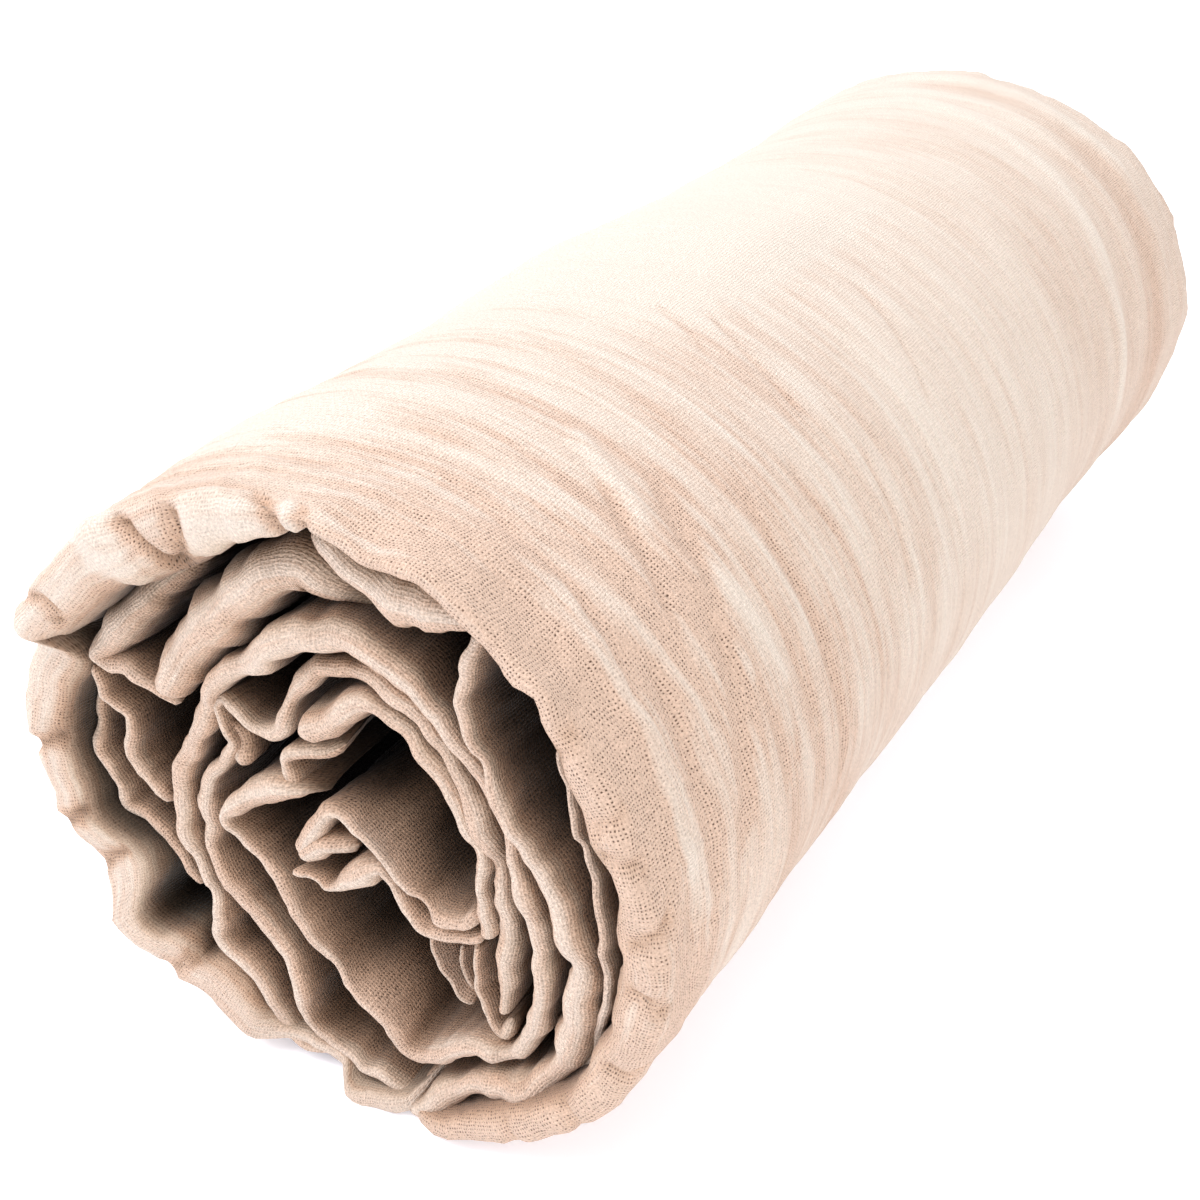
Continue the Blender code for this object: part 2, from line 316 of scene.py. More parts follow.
# Behind the lip a wall runs back within its own radius, and closes the turn deep inside, where
# the cloth is painted dark as painted shade.
WALL_RADIUS = 54.0
WALL_DEPTHS = (50, 42, 35, 29, 24, 19.5, 15.5, 12, 9, 6.4, 4.2, 2.2)
CLOSED_SHARES = (0.04, 0.3, 0.55, 0.8)
CLOSED_SHADE_DEPTH = 60.0
# The far end: its mouth's length and how much that draws in, its lip's width and setback with
# their waves, how far it is carried forward, and how the barrel flares towards it.
FAR_MOUTH, FAR_TUCK = 12.0, 0.015
FAR_WIDTH, FAR_WIDTH_WAVE = 8.0, 4.0
FAR_SETBACK, FAR_SETBACK_WAVE = 0.2, 1.6
FAR_FORWARD = 3.0
FAR_FLARE, FAR_FLARE_GROWS = 1.5, (215, 270)

# The mesh: degrees from column to column, mm from row to row, and steps round the rim's lip.
COLUMN_STEP = 1.6
NEAR_STEP, FAR_STEP, FINE_UNTIL = 1.0, 1.5, 175.0
LIP_STEPS = 16

# In mm: the crinkles' height, where they are faintest, at this share, and over what length they
# fade, and between which places the painted shade in their troughs grows faint.
CRINKLE_HEIGHT = 0.36
CRINKLES_FAINT, FAINTEST, CRINKLES_FADE = 225, 0.15, 150
TROUGH_SHADE_FADES = (45.0, 130.0)
# Painted shade: more where one lip presses on the next, in the pleats, and on the rim's left side.
PRESSED_SHADE = 1.5
PLEAT_SHADE = 1.6
LEFT_SIDE, LEFT_REACH, LEFT_SHADE = 196.0, 26, 1.0


def read_off(rows, at):
    """A table's other columns at a place in its first column, on a smooth curve through it."""
    at = min(max(at, rows[0][0]), rows[-1][0])
    low = 0
    while low < len(rows) - 2 and rows[low + 1][0] < at:
        low += 1
    start, end = rows[low], rows[low + 1]
    before, after = rows[max(low - 1, 0)], rows[min(low + 2, len(rows) - 1)]
    gap = end[0] - start[0]
    t = (at - start[0]) / gap
    values = []
    for k in range(1, len(start)):
        leaving = (end[k] - before[k]) / (end[0] - before[0]) * gap
        arriving = (after[k] - start[k]) / (after[0] - start[0]) * gap
        rise = (3 - 2 * t) * t * t
        values.append(start[k] + rise * (end[k] - start[k])
                      + t * (1 - t) ** 2 * leaving - t * t * (1 - t) * arriving)
    return values


def smooth_share(value, start, end):
    """Soft step from 0 at start to 1 at end."""
    t = min(max((value - start) / (end - start), 0.0), 1.0)
    return t * t * (3 - 2 * t)


CRUMPLES = (
    # size and height in mm, seed, how much sooner than the broad ones they die down
    (20.0, 0.9, 3.0, 1.0), (8.0, 0.55, 17.0, 1.4), (3.6, 0.36, 41.0, 2.2), (1.9, 0.24, 67.0, 2.0),
)
# Each direction reads the same noise at a place of its own.
SIDEWAYS = Vector((0.0, 0.0, 0.0))
LENGTHWISE = Vector((31.4, 17.2, 5.8))
UPWARDS = Vector((-12.7, 44.1, 23.9))


def crumpled(x, y, z, amount):
    """Moves a point by the soft, uneven crumples that run through the whole roll."""
    moved = Vector((x, y, z))
    for size, height, seed, calm in CRUMPLES:
        at = Vector((x / size + seed, y / size, z / size))
        pull = Vector([noise.noise(at + shift) for shift in (SIDEWAYS, LENGTHWISE, UPWARDS)])
        moved += pull * (height * amount ** calm)
    moved.z = max(moved.z, -AXIS_HEIGHT)
    return moved


def streaks(arc, along, length, width, seed):
    """Soft noise in streaks of this length round the roll and this width along it, in mm."""
    return noise.noise(Vector((arc / length, along / width, seed)))


def crinkle(arc, along):
    """Fine crinkles that run round the barrel: their height, from about -1 to 1."""
    drift = 3.0 * streaks(arc, along, length=80, width=60, seed=2.0)
    drift += 0.5 * streaks(arc, along, length=26, width=24, seed=7.0)
    at = along + drift
    broad = streaks(arc, at, length=95, width=4.2, seed=11.0)
    fine = streaks(arc, at, length=60, width=1.9, seed=23.0)
    sharp = 0.5 - abs(streaks(arc, at, length=110, width=5.0, seed=31.0)) * 2.4
    return 0.7 * broad + 0.5 * fine + 0.5 * sharp


# A crease may go on this many degrees past its ends, and its width is measured at this radius.
CREASE_ENDS = 4
RIM_RADIUS = 58


def crease_rise(creases, angle, along):
    """Height, in mm, that the creases give a place on the barrel or its rim."""
    rise = 0.0
    for start, middle, end, height, width in creases:
        low, high = min(start[0], end[0]), max(start[0], end[0])
        if not low - CREASE_ENDS < angle < high + CREASE_ENDS:
            continue
        # A crease runs either round the roll or across its rim.
        if high - low > 2 * abs(start[1] - end[1]):
            share = (angle - start[0]) / (end[0] - start[0])
            across = along - bent_line(start[1], middle[1], end[1], share)
        else:
            share = (along - start[1]) / (end[1] - start[1])
            across = math.radians(angle - bent_line(start[0], middle[0], end[0], share)) * RIM_RADIUS
        fade = smooth_share(share, -0.04, 0.14) * (1 - smooth_share(share, 0.86, 1.04))
        rise += height * fade * math.exp(-(across / width) ** 2)
    return rise


def bent_line(start, middle, end, share):
    """A soft bend through three values, at a share of the way."""
    return (start * (1 - share) * (1 - 2 * share) + middle * 4 * share * (1 - share)
            + end * share * (2 * share - 1))


def barrel_radius(angle, along):
    """Radius of the barrel's face, with its uneven swell, before creases and crinkles."""
    turn = math.radians(angle)
    radius = read_off(BARREL_HOURS, (angle + 90) % 360 - 90)[0]
    for around, lengthwise, phase, height in BARREL_WAVES:
        radius += height * math.sin(around * turn + 2 * math.pi * lengthwise * along / LENGTH + phase)
    return radius


def cloth_mesh(name, strips):
    """One cloth mesh from strips: rows of points (place, weave place, painted shade depth, painted tint,
    fluff).
    """
    points, faces, weave = [], [], []
    shown = {"depth": [], "painted_shade_and_light": [], "nap_and_painted_shade": []}
    for rows in strips:
        first, width = len(points), len(rows[0])
        for row in rows:
            for place, across, *values in row:
                points.append((place.x * MM, place.y * MM, (place.z + AXIS_HEIGHT) * MM))
                weave.append(across)
                for column, value in zip(shown.values(), values):
                    column.append(value)
        for i in range(len(rows) - 1):
            for j in range(width - 1):
                a = first + i * width + j
                faces.append((a, a + 1, a + width + 1, a + width))
    mesh = bpy.data.meshes.new(name)
    mesh.from_pydata(points, [], faces)
    layer = mesh.uv_layers.new(name="weave")
    for corner in mesh.loops:
        layer.data[corner.index].uv = weave[corner.vertex_index]
    for label, column in shown.items():
        mesh.attributes.new(label, "FLOAT", "POINT").data.foreach_set("value", column)
    mesh.shade_smooth()
    mesh.materials.append(GAUZE)
    piece = bpy.data.objects.new(name, mesh)
    bpy.context.scene.collection.objects.link(piece)
    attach(piece, "root")
    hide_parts("rolled_sheet")
    return piece


def outer_turn_columns():
    """Angle and inset of each column, from the free fold round the barrel to the tucked turn."""
    angles = []
    angle = FREE_FOLD[-1][0] + COLUMN_STEP
    while angle < TUCKED_UNDER[0][0] - 0.5 * COLUMN_STEP:
        angles.append((angle, 0.0))
        angle += COLUMN_STEP
    return list(FREE_FOLD) + angles + list(TUCKED_UNDER)


def rim_profile(inner, outer, setback):
    """Radius, distance from the roll's end and depth of painted shade, from the roll's middle outwards.
    """
    crest = outer - CREST_SHARE * (outer - inner)
    inwards = min(0.5 * (crest - inner) + 0.9, MOST_INWARDS)
    outwards = min(0.8 * (outer - crest) + 0.4, MOST_OUTWARDS)
    profile = []
    for share in CLOSED_SHARES:
        profile.append((inner * share, setback + WALL_DEPTHS[0] + 4 * (1 - share), CLOSED_SHADE_DEPTH))
    for depth in WALL_DEPTHS:
        tucked = max(0.0, inner - WALL_RADIUS) * smooth_share(depth, 0, 10)
        profile.append((inner - tucked, setback + inwards + depth, inwards + PRESSED_SHADE + depth))
    for k in range(LIP_STEPS + 1):
        turned = math.pi * k / LIP_STEPS
        if 2 * k < LIP_STEPS:
            inside = inwards * (1 - math.sin(turned)) ** 1.3
            shade = inside + PRESSED_SHADE * math.cos(turned) ** 3
            profile.append((crest - (crest - inner) * math.cos(turned), setback + inside, shade))
        else:
            behind = outwards * (1 - math.sin(turned))
            profile.append((crest - (outer - crest) * math.cos(turned), setback + behind, 0.0))
    return profile


def outer_stations():
    """Where along the barrel its mesh has rows, closer together towards the near end."""
    stations = []
    along = NEAR_STEP
    while along < LENGTH - FAR_MOUTH:
        stations.append(along)
        along += NEAR_STEP if along < FINE_UNTIL else FAR_STEP
    return stations


def far_profile(angle, inset, tucked, arc):
    """The far rim, softly uneven in its width and setback round the roll."""
    wave = noise.noise(Vector((arc / 14, 3.0, 9.0)))
    face = barrel_radius(angle, LENGTH) * (1 - FAR_TUCK) + FAR_FLARE - inset
    back = FAR_SETBACK - FAR_FORWARD + FAR_SETBACK_WAVE * (0.5 + wave) + tucked
    width = max(THINNEST_LIP, FAR_WIDTH + FAR_WIDTH_WAVE * wave - inset)
    return rim_profile(face - width, face, back)


def outer_line(angle, inset, arc, stations):
    """The smooth cloth at one angle: near wall, near rim, barrel, far rim and far wall."""
    inner, outer, setback = read_off(NEAR_RIM, angle)
    tucked = TUCKED_SETBACK * min(inset / WHOLLY_TUCKED, 1.0)
    setback += tucked
    inner = min(inner, outer - inset - THINNEST_LIP)
    near = rim_profile(inner, outer - inset, setback - END_FORWARD)
    far = far_profile(angle, inset, tucked, arc)
    near_start, far_start = near[-1][1], LENGTH - far[-1][1]
    line = list(near)
    for station in stations:
        along = station + near_start * (1 - smooth_share(station, 0, SHIFT_FADE))
        to_far = LENGTH - FAR_MOUTH - station
        along += (far_start - LENGTH + FAR_MOUTH) * (1 - smooth_share(to_far, 0, SHIFT_FADE))
        face = barrel_radius(angle, along)
        face *= 1 - FAR_TUCK * max(0.0, 1 - (LENGTH - along) / FAR_MOUTH) ** 2
        face += FAR_FLARE * smooth_share(along, *FAR_FLARE_GROWS)
        rim = (outer - face) * (1 - smooth_share(along - near_start, 0, RIM_FADE))
        line.append((face + rim - inset, along, 0.0))
    return line + [(radius, LENGTH - along, depth) for radius, along, depth in reversed(far)]


def reach_from(line, front):
    """How far each place is from the front of the near lip, measured over the cloth."""
    reach = [0.0]
    for here, there in zip(line, line[1:]):
        reach.append(reach[-1] + math.hypot(there[0] - here[0], there[1] - here[1]))
    return [r - reach[front] for r in reach]


def painted_shade_share(fold, along, angle):
    """Painted shade where the cloth sinks between crinkles, for the material: the more, the pinker."""
    faded = smooth_share(along, *TROUGH_SHADE_FADES)
    tint_and_painted_shade = min(max(-fold * (0.9 - 0.45 * faded), -0.4), 0.6) + 0.08 - 0.05 * faded
    # Painted shade makes the rim pinker than the barrel and its far right pinker, and a painted
    # highlight makes the barrel's left side paler.
    tint_and_painted_shade += 0.3 * (1 - smooth_share(along, 3, 26))
    tint_and_painted_shade -= (0.4 - 0.3 * smooth_share(along, 60, 200)) * smooth_share(angle, 55, 120)
    tint_and_painted_shade += 0.22 * smooth_share(along, 170, 250) * (1 - smooth_share(angle, 25, 65))
    return tint_and_painted_shade


def creased_row(line, angle, arc, front):
    """The cloth at one angle with its creases, pleats, crinkles and crumples."""
    turn = math.radians(angle)
    reach = reach_from(line, front)
    # The rim's left side turns away from the light, so its inner half gets deeper painted shade.
    left = 1 + LEFT_SHADE * math.exp(-((angle - LEFT_SIDE) / LEFT_REACH) ** 2)
    row = []
    for k, (radius, along, depth) in enumerate(line):
        start, end = line[max(k - 1, 0)], line[min(k + 1, len(line) - 1)]
        lean = Vector((end[1] - start[1], start[0] - end[0])).normalized()
        across = along + (reach[k] - along) * (1 - smooth_share(along, 4, 40))
        calm = smooth_share(reach[k], 2, 12) * smooth_share(LENGTH - along, 4, 16)
        strength = FAINTEST + (1 - FAINTEST) * smooth_share(CRINKLES_FAINT - along, 0, CRINKLES_FADE)
        fold = CRINKLE_HEIGHT * crinkle(arc, along) * calm * strength
        if depth < 8:
            fold += crease_rise(BARREL_CREASES, angle, reach[k])
            pleat = crease_rise(RIM_PLEATS, angle, reach[k])
            fold += pleat
            # Painted shade in the pleats' troughs.
            depth += PLEAT_SHADE * max(-pleat, 0.0)
        # Painted shade and light, for the material's pinker or paler tint.
        painted_shade_and_light = painted_shade_share(fold, along, angle)
        radius += lean.x * fold
        along += lean.y * fold
        to_end = min(along, LENGTH - along)
        amount = 0.25 + 0.75 * (1 - smooth_share(to_end, 6, 34))
        place = crumpled(radius * math.cos(turn), along - LENGTH / 2, radius * math.sin(turn), amount)
        # Fluff, and the pinker tint of painted shade that goes with it, fade from the near end.
        nap_and_painted_shade = 0.6 - 0.2 * smooth_share(along, 20, 150)
        row.append((place, (arc, across), depth * left, painted_shade_and_light, nap_and_painted_shade))
    return row


def outer_turn():
    columns = outer_turn_columns()
    stations = outer_stations()
    lip_front = len(CLOSED_SHARES) + len(WALL_DEPTHS) + LIP_STEPS // 2
    rows = []
    arc = 0.0
    before = columns[0][0]
    for angle, inset in columns:
        arc += math.radians(abs(angle - before)) * MEAN_RADIUS
        before = angle
        line = outer_line(angle, inset, arc, stations)
        rows.append(creased_row(line, angle, arc, lip_front))
    return rows


outer = cloth_mesh("outer_turn", [outer_turn()])

# The inner turns at the near end: the band's own folded edges, soft lips of doubled gauze that
# wind inwards side by side. Each is read where it shows on the end of the roll, with half its
# thickness there and how far it stands back.

# Where the roll is seen from, in mm: to the right of its axis, above it, before its near end.
EYE_X, EYE_Z, EYE_BEFORE_END = 138.2, 160.7, 150.5
# In mm: the mesh's step along a fold, the length over which the walls behind a lip soften, and
# how much of its flank shows.
FOLD_STEP = 0.7
RELAXED_OVER = 8.0
FLANK_SHOWN = 0.7
LIP_ARC_STEPS = 8
# The folds keep inside this radius at the rim, and this much further in behind it.
INSIDE_OF_RIM, INSIDE_OF_BARREL = 58.0, 4.0
# Uneven lips and walls: each soft wave's size in mm and its height.
SWAYS = ((11, 0.9), (4.2, 0.45))
SWELLS = ((8, 0.4), (3.2, 0.3))
SETBACKS = ((11, 2.0), (4.4, 0.9))
WALL_CREASES = (
    # size along the lip and behind it in mm, seed, height in mm
    (8, 16, 10, 2.2),
    (3.2, 12, 20, 0.9),
)
WIDE_OPENINGS = (
    # x, z, reach in mm, how much deeper the light falls, that is how much less painted shade, below
    # nought where the rim hangs over
    (14, -29, 14, 0.97), (10, 2, 9, 0.82), (-36, 9, 6, 0.2), (38, 33, 6.5, -0.9),
)
# A lip's rounded front for its half thickness, and how much deeper its painted shade is for each
# mm that it stands back.
NOSE = 1.25
DARKER_BACK = 0.45
# How much painted shade tints a lip pinker, for the material, and how that grows behind it.
LIP_PAINTED_SHADE, PAINTED_SHADE_A_MM, MOST_PAINTED_SHADE = -0.15, 0.16, 0.6

# The far end is wound from the same turns, a little tighter.
FAR_SHARE = 0.96
FAR_FOLDS_FORWARD = 2.0
FAR_FOLD_STEP = 1.2

INNER_TURN = (
    # x, z, half thickness, setback: lip a, up the right side, into the soft leaf above the core
    (31, -8, 1.2, 7), (30.5, 0, 1.3, 6.5), (30.5, 7, 1.4, 6), (28, 11, 1.4, 6), (25, 15.5, 1.4, 6),
    (22, 20, 1.4, 6), (19, 24, 1.5, 6), (15.5, 27, 1.5, 6), (12.5, 28, 1.7, 6), (9.5, 26.8, 2.2, 6),
    (7, 24.5, 2.7, 6), (4.5, 22.2, 2.8, 6), (1.3, 20.2, 2.2, 6), (-1.2, 18.6, 1.4, 6),
)
SMALL_LOBE = (
    # x, z, half thickness, setback: the lobe below the leaf, and the web that hangs from its tip
    (6.3, 18.6, 0.9, 10), (2.8, 16.4, 1.3, 8.5), (-0.7, 15.1, 1.6, 7), (-3.8, 14, 1.3, 6.5),
    (-5, 11.8, 1.4, 6.5), (-4.5, 9, 1.9, 6.8), (-3.4, 6.5, 1.6, 7),
)
LONG_FOLD = (
    # x, z, half thickness, setback: the sharp fold over the core, from its web to its tip
    (4, 9.8, 0.9, 12), (0.6, 8.7, 1.7, 9), (-2.8, 7.4, 2.5, 7), (-6.4, 6.2, 3.0, 6),
    (-10.4, 3.6, 2.8, 5.5), (-13.7, 1.2, 2.3, 5), (-16.6, -1.4, 1.9, 4.5), (-18.7, -4.6, 1.5, 4.5),
    # back along its lower side, and down to the bottom of the roll
    (-16.8, -8.1, 1.7, 4.5), (-13, -10, 1.7, 5), (-10, -13, 1.8, 5), (-7, -17.5, 1.8, 5),
    (-4, -22, 1.8, 5), (-1, -26, 1.7, 5), (1.6, -29.4, 1.6, 5), (5, -31.2, 1.6, 5),
    (8.6, -32, 1.7, 5), (11.2, -35.2, 1.9, 5), (13, -39, 1.7, 5), (15.4, -40, 1.9, 5),
    (18.3, -39, 2.0, 5), (21.6, -36.7, 2.1, 5), (25, -33.4, 2.1, 5), (28, -31.6, 2.1, 5),
    (31, -31.4, 2.0, 5), (34, -30.8, 1.8, 5), (36.8, -27.4, 1.9, 5), (38.5, -23, 1.8, 5),
    # up the right side again and over the top
    (39.8, -18, 1.8, 5), (40.3, -12, 1.8, 5), (40.4, -6, 1.8, 5), (39.8, -0.5, 1.8, 5), (38.8, 5, 1.8, 5),
    (37.5, 9, 1.8, 5), (36, 14, 1.8, 5), (33, 20, 1.9, 5), (29.8, 24.5, 1.9, 5), (26.6, 27.8, 1.9, 5),
    (23.6, 30.6, 2.1, 5), (20, 33.8, 2.5, 5), (16.6, 36, 2.8, 5), (13.5, 37.8, 3.0, 5),
    (9.4, 38.3, 3.3, 5), (4.6, 37.3, 3.4, 5), (1, 36.5, 3.2, 5), (-2.1, 34.8, 2.8, 5),
    (-5.8, 31.2, 2.6, 5), (-9.6, 27.6, 2.4, 5), (-13.9, 24.8, 2.0, 5), (-17.4, 21.6, 1.9, 5),
    # and down the left side to the bottom
    (-19.6, 18.6, 2.0, 5), (-20.5, 15.6, 2.4, 5), (-21.9, 12.4, 2.6, 5), (-24.2, 8.6, 2.4, 5),
    (-26.2, 5, 2.3, 5), (-27.7, 1.5, 2.2, 5), (-28.5, -2, 2.2, 5), (-28.8, -6.3, 2.1, 5),
    (-28.7, -10.6, 2.0, 5), (-27.5, -14.4, 1.9, 5), (-25.6, -18, 1.8, 5), (-23.6, -21.5, 1.9, 5),
    (-21.8, -26, 1.8, 5), (-22.2, -30.8, 2.2, 4.5), (-17.2, -35.4, 2.2, 4), (-13.6, -41.4, 2.4, 4),
    (-11.5, -45.2, 2.2, 4.3), (-8, -47.8, 1.7, 4.8), (-3, -47.9, 1.2, 5.5), (1.5, -49.2, 0.9, 6.5),
)
SECOND_TURN = (
    # x, z, half thickness, setback: lip b, up beside lip a
    (33.5, -22, 1.2, 8), (34.2, -15, 1.9, 7), (34.8, -5, 2.3, 6.5), (35, 0, 2.4, 6.5),
    (34, 7, 2.3, 6.5), (31, 14, 2.2, 6.5), (28, 20, 2.2, 6.5), (24, 26, 2.0, 6.5),
    (20, 30.5, 2.0, 6.5), (14, 33, 2.0, 6.5), (8.4, 32.6, 1.9, 6.8), (4, 31, 1.9, 7),
    # the small zigzag at the upper left
    (1.2, 27.8, 2.0, 7), (-1.6, 24.6, 1.8, 7), (-3.6, 21, 1.8, 6.5), (-5.6, 17.8, 1.8, 6.5),
    (-8.4, 15.8, 1.8, 6.5), (-11.2, 16, 1.9, 6.5), (-13.8, 17.6, 1.9, 6.5), (-16.2, 18.9, 1.4, 6.5),
    (-17.5, 17.6, 1.2, 6.5), (-16.8, 15, 1.2, 6.5), (-16.1, 11.6, 1.5, 6.5),
    # down the left side, in a kink, and on to the bottom
    (-17.8, 7, 2.1, 6.5), (-20.1, 4, 2.1, 6.5), (-21.7, 0.6, 2.1, 6.5), (-23.1, -3.7, 2.1, 6),
    (-23.9, -8.2, 2.1, 6), (-23.6, -11.8, 2.0, 6), (-20.6, -14.8, 2.1, 6), (-17.8, -17.6, 2.2, 6),
    (-15.2, -21.4, 2.2, 6), (-11.8, -25.5, 2.2, 6), (-8.1, -29.4, 2.2, 6), (-6.2, -33.7, 2.1, 5.5),
    (-6.4, -39, 2.0, 5), (-5.8, -42.6, 1.8, 5), (-3, -44.8, 1.7, 5), (0, -46.3, 1.6, 5),
    (5, -47.3, 1.5, 5), (9, -47.7, 1.6, 4.5), (12, -50, 1.8, 4), (15.2, -51, 2.1, 4),
    (18.4, -49.3, 2.5, 4), (22, -45.6, 2.7, 4), (25, -42.4, 2.8, 4), (28.4, -39.8, 2.8, 4),
    (32, -38.2, 2.8, 4), (35.6, -36.8, 2.8, 4), (38.8, -34.6, 2.9, 4), (42, -30.6, 3.0, 4),
    # the broad lip up the right side, which leans in and bares its outer face near the top
    (44.6, -25.4, 3.0, 4), (46.2, -18, 3.0, 4), (46.8, -10, 3.0, 3.5), (46.3, -3, 3.0, 3.5),
    (44.5, 3.5, 2.9, 3.5), (41.5, 8.5, 2.4, 3.5), (38.5, 12.5, 1.9, 3.5), (36.2, 17, 1.6, 3.5),
    (33.6, 21.6, 1.6, 3.5), (30.9, 26, 1.6, 3.5), (29, 30, 1.6, 3.5), (28.2, 34, 1.6, 3.5),
    (28.7, 37.4, 1.6, 3.5), (29.7, 41.2, 1.5, 3.5), (31, 45.4, 1.4, 4),
)
TOP_FLAP = (
    # x, z, half thickness, setback: the flap tucked under the rim at the top
    (31.2, 46.7, 1.0, 3.5), (28.6, 47, 2.4, 3), (24.1, 47.3, 4.0, 2.6), (19, 47.3, 4.2, 2.6),
    (14.6, 48.2, 3.7, 2.8), (10.8, 50, 2.8, 3.2), (7.6, 52.4, 2.2, 4), (5.5, 55, 1.8, 5),
)
TOP_ROLL = (
    # x, z, half thickness, setback: the fat soft fold that comes down to the left from it
    (18, 45.5, 2.2, 15), (12, 46.2, 3.4, 11), (7, 46.5, 3.9, 7.5), (2, 46.7, 4.1, 5),
    (-3, 44.8, 4.3, 4.2), (-8.2, 40.4, 4.6, 4.2), (-15.8, 33, 4.6, 4.2), (-20.8, 27.4, 4.5, 4.2),
    (-24.4, 23.2, 4.3, 4.5), (-26.6, 19.3, 3.4, 5), (-27.3, 16.2, 2.4, 6),
)
LEFT_FLAP = (
    # x, z, half thickness, setback: the soft flap beside its end, doubled back at its tip
    (-15, 44, 1.6, 13), (-21, 39.5, 2.4, 11), (-27, 34.5, 3.0, 9), (-31.5, 30, 3.2, 7.5),
    (-34.5, 27, 3.4, 6.5), (-37.6, 23.8, 3.2, 6), (-40.5, 20.8, 2.6, 6), (-43, 18.5, 1.7, 6),
    (-41.2, 17.2, 1.6, 6), (-38.5, 17.4, 1.8, 6), (-35.5, 17.6, 1.5, 6), (-32.4, 16.4, 1.2, 6),
    (-29.5, 15.2, 1.1, 6.5), (-26, 15, 1.0, 7.5),
)
LEFT_INNER_LIP = (
    # x, z, half thickness, setback: the lip that runs down from the flap's tip
    (-44, 16.1, 0.9, 7), (-43.2, 13.4, 1.1, 6.5), (-42.4, 11.2, 1.2, 6.5), (-40.5, 9.4, 1.2, 7),
    (-38.6, 7.4, 1.3, 7), (-38.1, 4.6, 1.3, 7), (-38.9, 1.1, 1.3, 7), (-38.2, -1.7, 1.3, 7),
    (-35.6, -3.6, 1.3, 7), (-32.8, -4.9, 1.2, 7), (-30.6, -6.4, 1.1, 7.5),
)
SMALL_WEB = (
    # x, z, half thickness, setback: the slack cloth between the zigzag and the fold beside it
    (-15.2, 15.6, 0.9, 8), (-14.2, 13, 2.1, 7.5), (-13.8, 9.8, 2.2, 7.5), (-14.6, 7.2, 1.2, 7.5),
)
LEFT_LIP = (
    # x, z, half thickness, setback: the thin layer between that lip and the rim
    (-43.6, 14.5, 1.0, 9), (-44.3, 10, 1.3, 8.5), (-45.3, 5, 1.5, 8), (-45.6, 0.5, 1.5, 7.5),
    (-43.8, -3.5, 1.4, 7.5), (-41.8, -7, 1.3, 7.5), (-40.8, -10.4, 1.2, 7.5), (-37.4, -12.4, 1.1, 7),
    (-33.6, -14.6, 1.0, 7), (-30.4, -18, 1.0, 7), (-27, -22.2, 1.0, 7),
)
RIGHT_LIP = (
    # x, z, half thickness, setback: the thin lip just inside the rim at the right
    (45, -30.5, 0.8, 7), (48, -24, 1.0, 6), (49.7, -18, 1.0, 5.5), (51, -10, 1.0, 5), (51.5, -3, 1.0, 5),
    (51.5, 4, 1.0, 5), (50.7, 10, 1.0, 5), (48.8, 16, 1.0, 5), (46.7, 21, 1.0, 5),
    (45.2, 27, 1.0, 5), (44.4, 32, 0.8, 6),
)


def carried_back(x, z, setback):
    """A point read on the end of the roll, moved along the line of sight to its own setback."""
    reach = (EYE_BEFORE_END + setback) / EYE_BEFORE_END
    return EYE_X - (EYE_X - x) * reach, EYE_Z - (EYE_Z - z) * reach


def smooth_run(rows, step):
    """The rows as an even, fine run on a smooth curve through them."""
    run = []
    last = len(rows) - 1
    for i in range(last):
        before, start, end, after = rows[max(i - 1, 0)], rows[i], rows[i + 1], rows[min(i + 2, last)]
        count = max(1, round(math.hypot(end[0] - start[0], end[1] - start[1]) / step))
        for k in range(count):
            t = k / count
            run.append([
                0.5 * (2 * b + (c - a) * t + (2 * a - 5 * b + 4 * c - d) * t * t
                       + (3 * b - a - 3 * c + d) * t ** 3)
                for a, b, c, d in zip(before, start, end, after)])
    run.append(list(rows[last]))
    return run


def relaxed(run, reach):
    """The run's places averaged over a stretch of it, as a fold softens deep in the roll."""
    eased = []
    for i in range(len(run)):
        near = run[max(0, i - reach):i + reach + 1]
        eased.append((sum(p[0] for p in near) / len(near), sum(p[1] for p in near) / len(near)))
    return eased


def normals(places):
    """Left-hand normals along a run of places, averaged a little so that they turn softly."""
    found = []
    for i in range(len(places)):
        before, after = places[max(0, i - 2)], places[min(len(places) - 1, i + 2)]
        along = Vector((after[0] - before[0], after[1] - before[1])).normalized()
        found.append((-along.y, along.x))
    return found


def open_share(place):
    """Where the roll gapes, light reaches deeper: the share of a depth that counts as painted shade."""
    share = 1.0
    for x, z, reach, light in WIDE_OPENINGS:
        share -= light * math.exp(-((place.x - x) ** 2 + (place.z - z) ** 2) / reach ** 2)
    return share


def narrowed(run, flank):
    """The run with each lip's own half thickness: the rest of what shows of it is its flank."""
    found = []
    for (x, z, half, back), (nx, nz) in zip(run, normals([(p[0], p[1]) for p in run])):
        facing = (nx * (EYE_X - x) + nz * (EYE_Z - z)) / EYE_BEFORE_END
        own = max(half - 0.5 * flank * abs(facing), 0.6 * half)
        shift = (own - half) * min(max(facing / 0.4, -1.0), 1.0)
        found.append([x + nx * shift, z + nz * shift, own, back])
    return found


def uneven(at, seed, waves):
    """Sum of soft random waves, each given by its size in mm and its height."""
    return sum(height * noise.noise(Vector((at / size, 7.3 * seed, size))) for size, height in waves)


